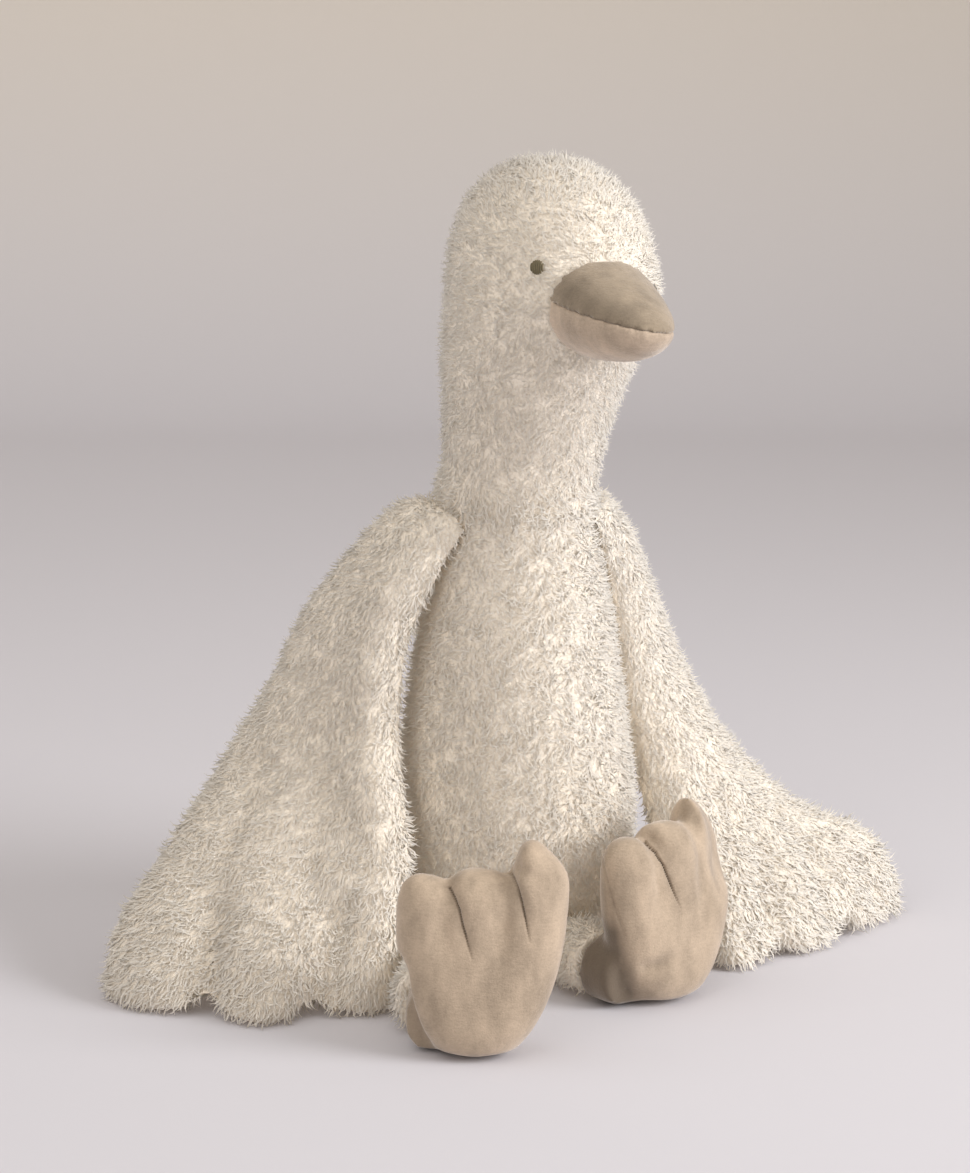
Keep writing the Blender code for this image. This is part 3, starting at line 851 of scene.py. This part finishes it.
def fur_tree():
    """Sets curls over a skin; the skin's cover, pile and comb values say where, how long and which way."""
    tree = bpy.data.node_groups.new("curls over a skin", "GeometryNodeTree")
    for name, kind, default in (
        ("Skin", "Geometry", None),
        ("Curl", "Object", None),
        ("Spacing", "Float", 0.0014),
        ("Stand", "Float", 0.8),
        ("Unruly", "Float", 1.2),
        ("Clump size", "Float", 0.007),
        ("Floor", "Float", FLOOR_GAP),
        ("Seed", "Int", 7),
        ("Finish", "Material", None),
    ):
        socket = tree.interface.new_socket(name=name, in_out="INPUT", socket_type="NodeSocket" + kind)
        if default is not None:
            socket.default_value = default
    tree.interface.new_socket(name="Fur", in_out="OUTPUT", socket_type="NodeSocketGeometry")
    graph = Graph(tree)
    given = graph.node("NodeGroupInput")
    inputs = [item.name for item in tree.interface.items_tree if item.in_out == "INPUT"]
    wanted = {name: given.out(name) for name in inputs}

    def stored(name, kind="FLOAT"):
        return graph.node("GeometryNodeInputNamedAttribute", {"data_type": kind}, {"Name": name})

    def store(geometry, name, kind, domain, value):
        settings = {"data_type": kind, "domain": domain}
        values = {"Geometry": geometry, "Name": name, "Value": value}
        return graph.node("GeometryNodeStoreNamedAttribute", settings, values)

    def chance(least, most, shift):
        values = {"Seed": wanted["Seed"] + shift, 2: least, 3: most}
        return graph.node("FunctionNodeRandomValue", {"data_type": "FLOAT"}, values, out=1)

    spacing = wanted["Spacing"]
    spread = {
        "Mesh": wanted["Skin"],
        "Distance Min": spacing,
        "Density Max": 1.6 / (spacing * spacing),
        "Density Factor": stored("cover"),
        "Seed": wanted["Seed"],
    }
    points = graph.node("GeometryNodeDistributePointsOnFaces", {"distribute_method": "POISSON"}, spread)
    place = graph.node("GeometryNodeInputPosition")
    clump_values = {"Vector": place, "Scale": 1.0 / wanted["Clump size"], "Detail": 1.0}
    clump = graph.node("ShaderNodeTexNoise", values=clump_values)
    swirl = graph.vector("SUBTRACT", clump.out("Color"), (0.5, 0.5, 0.5))
    upright = graph.scaled(points.out("Normal"), wanted["Stand"])
    way = graph.vector("ADD", upright, stored("comb", "FLOAT_VECTOR"))
    way = graph.vector("ADD", way, graph.scaled(swirl, wanted["Unruly"] * 2.2))
    stray = graph.join(*(chance(-0.4, 0.4, shift) for shift in (1, 2, 3)))
    way = graph.vector("ADD", way, graph.scaled(stray, wanted["Unruly"]))
    lean = graph.node("FunctionNodeAlignRotationToVector", {"axis": "Z"}, {"Vector": way})
    twist = graph.join(0.0, 0.0, chance(0.0, 2.0 * math.pi, 4))
    turn = graph.node("FunctionNodeEulerToRotation", values={0: twist})
    spun = graph.node("FunctionNodeRotateRotation", {"rotation_space": "LOCAL"}, {0: lean, 1: turn})
    size = stored("pile") * chance(0.72, 1.22, 5)
    curl_values = {"Object": wanted["Curl"], "As Instance": True}
    curl = graph.node("GeometryNodeObjectInfo", values=curl_values, out="Geometry")
    set_out = {"Points": points, "Instance": curl, "Rotation": spun, "Scale": size}
    curls = graph.node("GeometryNodeInstanceOnPoints", values=set_out)
    toned = store(curls, "tone", "FLOAT", "INSTANCE", clump * 0.5 + chance(0.0, 0.5, 6))
    rooted = store(toned, "ground_way", "FLOAT_VECTOR", "INSTANCE", points.out("Normal"))
    real = graph.node("GeometryNodeRealizeInstances", values={"Geometry": rooted})
    across = stored("tone") * 0.9 + stored("side") * 0.03 + 0.05
    mapped = store(real, STRAND_MAP, "FLOAT2", "CORNER", graph.join(stored("along"), across, 0.0))
    spot = graph.parts(graph.node("GeometryNodeInputPosition"))
    above = graph.join(spot, spot.out("Y"), spot.out("Z").larger(wanted["Floor"]))
    laid = graph.node("GeometryNodeSetPosition", values={"Geometry": mapped, "Position": above})
    done = graph.node("GeometryNodeSetMaterial", values={"Geometry": laid, "Material": wanted["Finish"]})
    graph.node("NodeGroupOutput", values={"Fur": done})
    return tree


def grow(name, start_mesh, tree, values):
    """Runs a geometry tree on a copy of a mesh and keeps the result as a plain piece."""
    piece = linked_object(name, start_mesh.copy())
    modifier = piece.modifiers.new("growing", "NODES")
    modifier.node_group = tree
    for item in tree.interface.items_tree:
        if item.in_out == "INPUT" and item.name in values:
            modifier[item.identifier] = values[item.name]
    mesh = finished_mesh(piece)
    mesh.name = name
    for spare in ("comb", "pile", "cover", "seam", "tone", "along", "side"):
        attribute = mesh.attributes.get(spare)
        if attribute is not None:
            mesh.attributes.remove(attribute)
    return piece


def soften(mesh, share):
    """Shades each curl mostly as the surface that it grows from, as fur looks from a step away."""
    count = len(mesh.vertices)
    ground = np.empty(count * 3)
    mesh.attributes["ground_way"].data.foreach_get("vector", ground)
    mixed = ground.reshape(-1, 3) * share + outward_ways(mesh) * (1.0 - share)
    mixed /= np.maximum(np.linalg.norm(mixed, axis=1, keepdims=True), 1e-6)
    mesh.attributes.remove(mesh.attributes["ground_way"])
    mesh.normals_split_custom_set_from_vertices(mixed)


def write_values(mesh, cover, pile, comb):
    for name, kind, field, values in (
        ("cover", "FLOAT", "value", cover),
        ("pile", "FLOAT", "value", pile),
        ("comb", "FLOAT_VECTOR", "vector", comb.ravel()),
    ):
        mark = mesh.attributes.get(name) or mesh.attributes.new(name, kind, "POINT")
        mark.data.foreach_set(field, np.ascontiguousarray(values, dtype=float))


def flattened(vectors, ways):
    """The vectors laid down along the surface and made one long."""
    level = vectors - ways * (vectors * ways).sum(axis=1, keepdims=True)
    return level / np.maximum(np.linalg.norm(level, axis=1, keepdims=True), 1e-6)


def buried(points, nodes, depth):
    """1 where a point lies deeper than depth inside one of the nodes, else 0."""
    inside = np.zeros(len(points))
    for node in nodes:
        tree = surface_tree(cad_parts[node].data)
        low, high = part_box(node)
        for number, point in enumerate(points):
            spot = Vector(point)
            if all(low[k] < spot[k] < high[k] for k in range(3)):
                place, normal, _, distance = tree.find_nearest(spot)
                if (spot - place).dot(normal) < 0.0 and distance > depth:
                    inside[number] = 1.0
    return inside


def cover_with_fur(coats, tree, curl, fur, material):
    """Fur for each coat: (skin, name, cover, pile, comb, stand, unruly)."""
    made = []
    for skin, name, cover, pile, comb, stand, unruly in coats:
        write_values(skin.data, cover, pile, comb)
        values = {
            "Curl": curl,
            "Spacing": fur.spacing,
            "Stand": stand,
            "Unruly": unruly,
            "Seed": FUR_SEED + len(made),
            "Finish": material,
        }
        coat = grow(name, skin.data, tree, values)
        soften(coat.data, fur.follow)
        made.append(coat)
    return made


def satin_stitches(node, sunk):
    """A dot of threads laid side by side over the place of an eye, each an arch sunk at its ends."""
    points = coordinates(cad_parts[node].data)
    middle = points.mean(axis=0)
    _, _, ways = np.linalg.svd(points - middle, full_matrices=False)
    out = ways[2] * (1.0 if ways[2] @ (middle - np.array(node_middle("head_neck"))) > 0.0 else -1.0)
    up = np.array((0.0, 0.0, 1.0)) - out * out[2]
    up /= np.linalg.norm(up)
    side = np.cross(up, out)
    radius = np.abs((points - middle) @ side).max()
    middle = middle - out * sunk
    thick = radius / EYE_THREADS
    work = bmesh.new()
    for k in range(EYE_THREADS):
        offset = radius * (2.0 * (k + 0.5) / EYE_THREADS - 1.0)
        half = math.sqrt(max(radius * radius - offset * offset, 0.0))
        rings = []
        for step in range(THREAD_STEPS + 1):
            turn = math.pi * (step / THREAD_STEPS) - math.pi / 2.0
            lift = up * math.sin(turn) + out * math.cos(turn)
            arch = up * half * math.sin(turn) + out * radius * EYE_BULGE * math.cos(turn)
            ring = []
            for corner in range(THREAD_SIDES):
                angle = 2.0 * math.pi * corner / THREAD_SIDES
                round_it = thick * THREAD_OVERLAP * (side * math.cos(angle) + lift * math.sin(angle))
                ring.append(work.verts.new(middle + side * offset + arch + round_it))
            rings.append(ring)
        for first, second in zip(rings, rings[1:]):
            for corner in range(THREAD_SIDES):
                n = (corner + 1) % THREAD_SIDES
                work.faces.new((first[corner], first[n], second[n], second[corner]))
        work.faces.new(rings[0])
        work.faces.new(list(reversed(rings[-1])))
    bmesh.ops.recalc_face_normals(work, faces=work.faces)
    return mesh_from(work, node + "_stitches")


def node_middle(node):
    low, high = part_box(node)
    return (low + high) / 2.0


def floor_mesh():
    """A flat floor that bends up into the backdrop, square to the camera."""
    bend_start = BACKDROP_PLACE - BACKDROP_BEND
    profile = [(-FLOOR_HALF, 0.0), (bend_start, 0.0)]
    for k in range(1, BEND_STEPS + 1):
        angle = math.pi / 2.0 * k / BEND_STEPS
        height = BACKDROP_BEND - BACKDROP_BEND * math.cos(angle)
        profile.append((bend_start + BACKDROP_BEND * math.sin(angle), height))
    profile.append((BACKDROP_PLACE, BACKDROP_TOP))
    work = bmesh.new()
    rows = []
    for x in (-FLOOR_HALF, FLOOR_HALF):
        row = []
        for y, z in profile:
            spot = Vector((x, y, z))
            spot.rotate(Euler((0.0, 0.0, CAMERA_TURN.z)))
            row.append(work.verts.new(spot))
        rows.append(row)
    for k in range(len(profile) - 1):
        work.faces.new((rows[0][k], rows[1][k], rows[1][k + 1], rows[0][k + 1]))
    return mesh_from(work, "floor")


def floor_material(stage):
    """Plain and matt; its colour changes from the floor's to the backdrop's with the height."""
    material, graph = new_material("plain floor")
    place = graph.object_place()
    height = graph.parts(place).out("Z")
    rise = graph.ramp([(0.0, 0.0), (1.0, 1.0)], height * 3.0)
    base = graph.colour_mix(rise, rgba(stage.floor_colour), rgba(stage.wall_colour))
    bump = graph.bump(0.08, 0.0005, graph.noise(place, 0.004))
    close_material(graph, base, 0.9, bump, {"Specular IOR Level": 0.1})
    return material


def skin_of(node, others, depth=BURIED_DEPTH):
    """The node's bag, its points and their ways out, and 1 at each point that may bear fur."""
    skin = bpy.data.objects[node + "_bag"]
    points = coordinates(skin.data)
    ways = outward_ways(skin.data)
    cover = 1.0 - buried(points, others, depth)
    cover[(points[:, 2] < FLOOR_BARE) & (ways[:, 2] < -0.5)] = 0.0
    return skin, points, ways, cover


def lie_down(points, ways):
    """The way down along the surface at each point."""
    return flattened(DOWN + points * 0.0, ways)


def torso_coats():
    others = ("head_neck", "wing_right", "wing_left", "leg_right", "leg_left")
    skin, points, ways, cover = skin_of("torso", others)
    comb = lie_down(points, ways) * 0.35
    pile = np.full(len(points), BODY_PILE)
    front = points[:, 1] < points[:, 1].mean()
    halves = (("torso_front_fur", front), ("torso_back_fur", ~front))
    return [(skin, name, cover * half, pile, comb, 0.55, 1.0) for name, half in halves]


def head_coats():
    """The head's fur runs away from the beak, down the neck, and over the eye on the far side."""
    marks = ("eye_right", "eye_left", "beak_upper")
    near_eye, far_eye, beak = (np.array(node_middle(node)) for node in marks)
    others = ("torso", "beak_upper", "beak_lower", "wing_right", "wing_left")
    skin, points, ways, cover = skin_of("head_neck", others, HEAD_BURIED_DEPTH)
    cover[np.linalg.norm(points - near_eye, axis=1) < EYE_BARE] = 0.0
    away = points - beak
    high = np.clip((points[:, 2] - CROWN_START) / CROWN_SPAN, 0.0, 1.0)
    neck = np.clip((NECK_TOP - points[:, 2]) / NECK_SPAN, 0.0, 1.0)[:, None]
    comb = flattened(away / np.linalg.norm(away, axis=1, keepdims=True) * (1.0 - neck) + DOWN * neck, ways)
    collar = np.exp(-(((points[:, 2] - COLLAR_HEIGHT) / COLLAR_WIDTH) ** 2))
    veil = np.exp(-((np.linalg.norm(points - far_eye, axis=1) / VEIL_WIDTH) ** 2))
    towards = flattened(far_eye - points, ways)
    comb = comb * (0.45 - 0.2 * high[:, None]) * (1.0 - veil)[:, None] + towards * (veil * 0.9)[:, None]
    pile = 0.80 + 0.14 * high + 0.5 * veil + 0.3 * collar
    return [(skin, "head_fur", cover, pile, comb, 0.55, 0.95)]


def wing_coats(node, side):
    """A wing's fur runs from the shoulder to the hem; the face towards the torso is a piece of its own."""
    skin, points, ways, cover = skin_of(node, ("torso", "head_neck"))
    hem = np.clip((HEM_TOP - points[:, 2]) / HEM_SPAN, 0.0, 1.0)
    shoulder = np.array((side * SHOULDER[0], *SHOULDER[1:]))
    comb = flattened(points - shoulder, ways) * (0.65 + 0.35 * hem[:, None])
    inner = (ways[:, 0] * -side > 0.15) & (ways[:, 1] > -0.35)
    faces = (("_fur", cover * (1.0 - inner)), ("_lining", cover * inner))
    return [(skin, node + end, part, 0.92 + 0.33 * hem, comb, 0.45, 0.85) for end, part in faces]


def leg_coats(node, foot):
    skin, points, ways, cover = skin_of(node, ("torso", foot))
    pile = np.full(len(points), BODY_PILE)
    return [(skin, node + "_fur", cover, pile, lie_down(points, ways) * 0.4, 0.6, 0.9)]


class DUCKLING_OT_bags(bpy.types.Operator):
    """Cut and stuff the bags of the body, head, wings and legs"""

    bl_idname = "duckling.bags"
    bl_label = "Stuffed bags"

    def execute(self, context):
        fur = context.scene.duckling_fur
        material = skin_material(fur)
        bags = {
            "torso": (BODY_CELL, fur.skin_inset, 0.45),
            "head_neck": (BODY_CELL, fur.skin_inset, 0.5),
            "wing_right": (WING_CELL, fur.skin_inset, 0.35),
            "wing_left": (WING_CELL, fur.skin_inset, 0.35),
            "leg_right": (LEG_CELL, fur.skin_inset * 0.7, 0.5),
            "leg_left": (LEG_CELL, fur.skin_inset * 0.7, 0.5),
        }
        made = [cloth_copy(node, cell, inset, material) for node, (cell, inset, _) in bags.items()]
        torso, head, right_wing, left_wing = made[:4]
        tuck_neck(torso, head)
        for wing in (right_wing, left_wing):
            hug_torso(wing)
        roll_front_edge(right_wing)
        for wing, grooves, mounds, reach in (
            (right_wing, RIGHT_WING_GROOVES, RIGHT_WING_LOBES, RIGHT_LOBE_REACH),
            (left_wing, LEFT_WING_GROOVES, LEFT_WING_LOBES, LEFT_LOBE_REACH),
        ):
            sunk = (lines_on(wing, grooves), reach, reach * LOBE_GROOVE_DEPTH, 0.0)
            raised = (lines_on(wing, mounds), reach * LOBE_MOUND_WIDTH, reach * -LOBE_MOUND_HEIGHT, 0.0)
            sew(wing, sunk, raised)
        puff(made, BAG_PRESSURE, BAG_GROOVE_DEPTH)
        for piece, (node, (_, _, fill)) in zip(made, bags.items()):
            divide(piece)
            dress(piece, [node])
        return {"FINISHED"}


class DUCKLING_OT_velour(bpy.types.Operator):
    """Cut, stuff and sew the velour feet and the two halves of the beak"""

    bl_idname = "duckling.velour"
    bl_label = "Velour feet and beak"

    def execute(self, context):
        velour = context.scene.duckling_velour
        sewing = context.scene.duckling_sewing
        foot_finish = velour_material("foot velour", velour.foot_colour, velour)
        # The upper half with painted shade, the lower half with painted bounce light.
        beak_finishes = {
            "beak_upper": velour_material("upper beak velour", velour.upper_beak_colour_and_shade, velour),
            "beak_lower": velour_material("lower beak velour", velour.lower_beak_colour_and_light, velour),
        }
        feet = [cloth_copy(node, FOOT_CELL, FOOT_INSET, foot_finish, 8) for node in FOOT_SHAPES]
        beak = beak_finishes.items()
        halves = [cloth_copy(node, BEAK_CELL, BEAK_INSET, finish, 1) for node, finish in beak]
        for foot, shape in zip(feet, FOOT_SHAPES.values()):
            shape_foot(foot, shape)
        puff(feet, FOOT_PRESSURE, FOOT_GROOVE_DEPTH)
        for piece in feet + halves:
            divide(piece)
        for foot, shape in zip(feet, FOOT_SHAPES.values()):
            # Painted shadow on each ankle's outer side, darkest on the left foot, where the ankle lies deep
            # between the foot and the body.
            aside, ankle = foot_measures(coordinates(foot.data), shape)
            mark = foot.data.attributes.new("seam", "FLOAT", "POINT")
            outer = np.clip((ANKLE_MIDDLE - aside) / ANKLE_FADE, 0.0, 1.0)
            mark.data.foreach_set("value", ankle * outer * shape["ankle_shade"])
        width, depth, fold = sewing.seam_width, sewing.seam_depth, sewing.fold_width
        grooves = [lines_on(feet[0], RIGHT_FOOT_GROOVES), lines_on(feet[1], LEFT_FOOT_GROOVES)]
        for foot, lines in zip(feet, grooves):
            refine(foot, lines)
        for foot, lines, folds, extra in (
            (feet[0], grooves[0], RIGHT_FOOT_FOLDS, ()),
            (feet[1], grooves[1], LEFT_FOOT_FOLDS, (LEFT_FOOT_SEAM, LEFT_FOOT_FOLD_PAINTED_SHADE)),
        ):
            # Each layer sinks a crease and darkens the velour along it as painted shade.
            layers = [
                (lines, width, depth, 0.8),
                (lines, width * 5.0, depth * 0.7, 0.14),
                (lines_on(foot, folds), fold, depth * 0.9, 0.24),
            ]
            # The left foot's sewn side line, shallow and with painted shade, and its third toe's fold,
            # painted shade only with no crease.
            extra_looks = ((width, depth * 0.35, 0.35), (fold, 0.0, 0.3))
            layers += [(lines_on(foot, [line]), *look) for line, look in zip(extra, extra_looks)]
            sew(foot, *layers)
        # Painted shade over the middle of the upper beak, with no crease.
        sew(halves[0], (lines_on(halves[0], [BEAK_PAINTED_SHADE]), fold * 2.2, 0.0, 0.46))
        for piece, node in zip(feet + halves, (*FOOT_SHAPES, *beak_finishes)):
            dress(piece, [node])
        return {"FINISHED"}


class DUCKLING_OT_eyes(bpy.types.Operator):
    """Finish the two small sewn eyes"""

    bl_idname = "duckling.eyes"
    bl_label = "Sewn eyes"

    def execute(self, context):
        sewing = context.scene.duckling_sewing
        finish = thread_material("eye thread", sewing.eye_colour, THREAD_TWIST)
        for node, sunk in (("eye_right", 0.0), ("eye_left", FAR_EYE_SUNK)):
            piece = new_piece(node + "_stitches", satin_stitches(node, sunk), finish)
            dress(piece, [node])
        return {"FINISHED"}


class DUCKLING_OT_fur(bpy.types.Operator):
    """Cover the bags with curly fur"""

    bl_idname = "duckling.fur"
    bl_label = "Curly fur"

    def execute(self, context):
        fur = context.scene.duckling_fur
        material = tuft_material(fur)
        curl = bpy.data.objects.new("curl", tuft_shape(fur.tuft_length, fur.tuft_width))
        coats = torso_coats() + head_coats()
        for side, node in ((-1.0, "wing_right"), (1.0, "wing_left")):
            coats += wing_coats(node, side)
        for node, foot in (("leg_right", "foot_right"), ("leg_left", "foot_left")):
            coats += leg_coats(node, foot)
        for piece in cover_with_fur(coats, fur_tree(), curl, fur, material):
            dress(piece)
        bpy.data.objects.remove(curl)
        return {"FINISHED"}


class DUCKLING_OT_stage(bpy.types.Operator):
    """Lay the floor, light it and set the camera"""

    bl_idname = "duckling.stage"
    bl_label = "Stage and camera"

    def execute(self, context):
        stage = context.scene.duckling_stage
        scene = context.scene
        scene.view_settings.view_transform = "Standard"
        new_piece("floor", floor_mesh(), floor_material(stage))
        for name, place, height, size, strength, colour, spread in (
            ("key", (1.15, -1.02, 0.80), 0.15, 1.0, stage.key_power, (1.0, 0.985, 0.975), 100.0),
            ("fill", (-1.3, -1.3, 0.9), 0.14, 1.4, stage.fill_power, (1.0, 0.955, 0.90), 180.0),
            ("top", (-0.7, -0.1, 1.6), 0.14, 2.0, stage.top_power, (1.0, 0.965, 0.93), 180.0),
        ):
            light = bpy.data.lights.new(name, "AREA")
            light.shape = "DISK"
            light.size = size
            light.energy = strength
            light.color = colour
            light.spread = math.radians(spread)
            lamp = linked_object(name, light)
            lamp.location = place
            look = Vector((0.0, 0.0, height)) - Vector(place)
            lamp.rotation_euler = look.to_track_quat("-Z", "Y").to_euler()
        world = bpy.data.worlds.new("even light")
        scene.world = world
        world.use_nodes = True
        sky = world.node_tree.nodes["Background"]
        sky.inputs["Color"].default_value = (1.0, 0.935, 0.86, 1.0)
        sky.inputs["Strength"].default_value = stage.sky

        lens = bpy.data.cameras.new("view")
        lens.lens = LENS
        lens.sensor_width = SENSOR
        camera = linked_object("view", lens)
        camera.location = CAMERA_PLACE
        camera.rotation_euler = CAMERA_TURN
        scene.camera = camera
        return {"FINISHED"}


class DUCKLING_PT_panel(bpy.types.Panel):
    """Sidebar panel with the steps and their settings"""

    bl_idname = "DUCKLING_PT_panel"
    bl_label = "Plush duckling"
    bl_space_type = "VIEW_3D"
    bl_region_type = "UI"
    bl_category = "Plush duckling"

    def draw(self, context):
        for step in STEPS:
            self.layout.operator(step.bl_idname)
        for name in GROUPS:
            box = self.layout.box()
            group = getattr(context.scene, name)
            for setting in group.__annotations__:
                box.prop(group, setting)


GROUPS = {
    "duckling_fur": DucklingFur,
    "duckling_velour": DucklingVelour,
    "duckling_sewing": DucklingSewing,
    "duckling_stage": DucklingStage,
}
STEPS = (
    DUCKLING_OT_bags,
    DUCKLING_OT_velour,
    DUCKLING_OT_eyes,
    DUCKLING_OT_fur,
    DUCKLING_OT_stage,
)


def register():
    for group in GROUPS.values():
        bpy.utils.register_class(group)
    for name, group in GROUPS.items():
        setattr(bpy.types.Scene, name, bpy.props.PointerProperty(type=group))
    for step in STEPS:
        bpy.utils.register_class(step)
    bpy.utils.register_class(DUCKLING_PT_panel)


def unregister():
    bpy.utils.unregister_class(DUCKLING_PT_panel)
    for step in reversed(STEPS):
        bpy.utils.unregister_class(step)
    for name in GROUPS:
        delattr(bpy.types.Scene, name)
    for group in GROUPS.values():
        bpy.utils.unregister_class(group)


def main():
    register()
    bpy.ops.duckling.bags()
    bpy.ops.duckling.velour()
    bpy.ops.duckling.eyes()
    bpy.ops.duckling.fur()
    bpy.ops.duckling.stage()


if __name__ == "__main__":
    main()
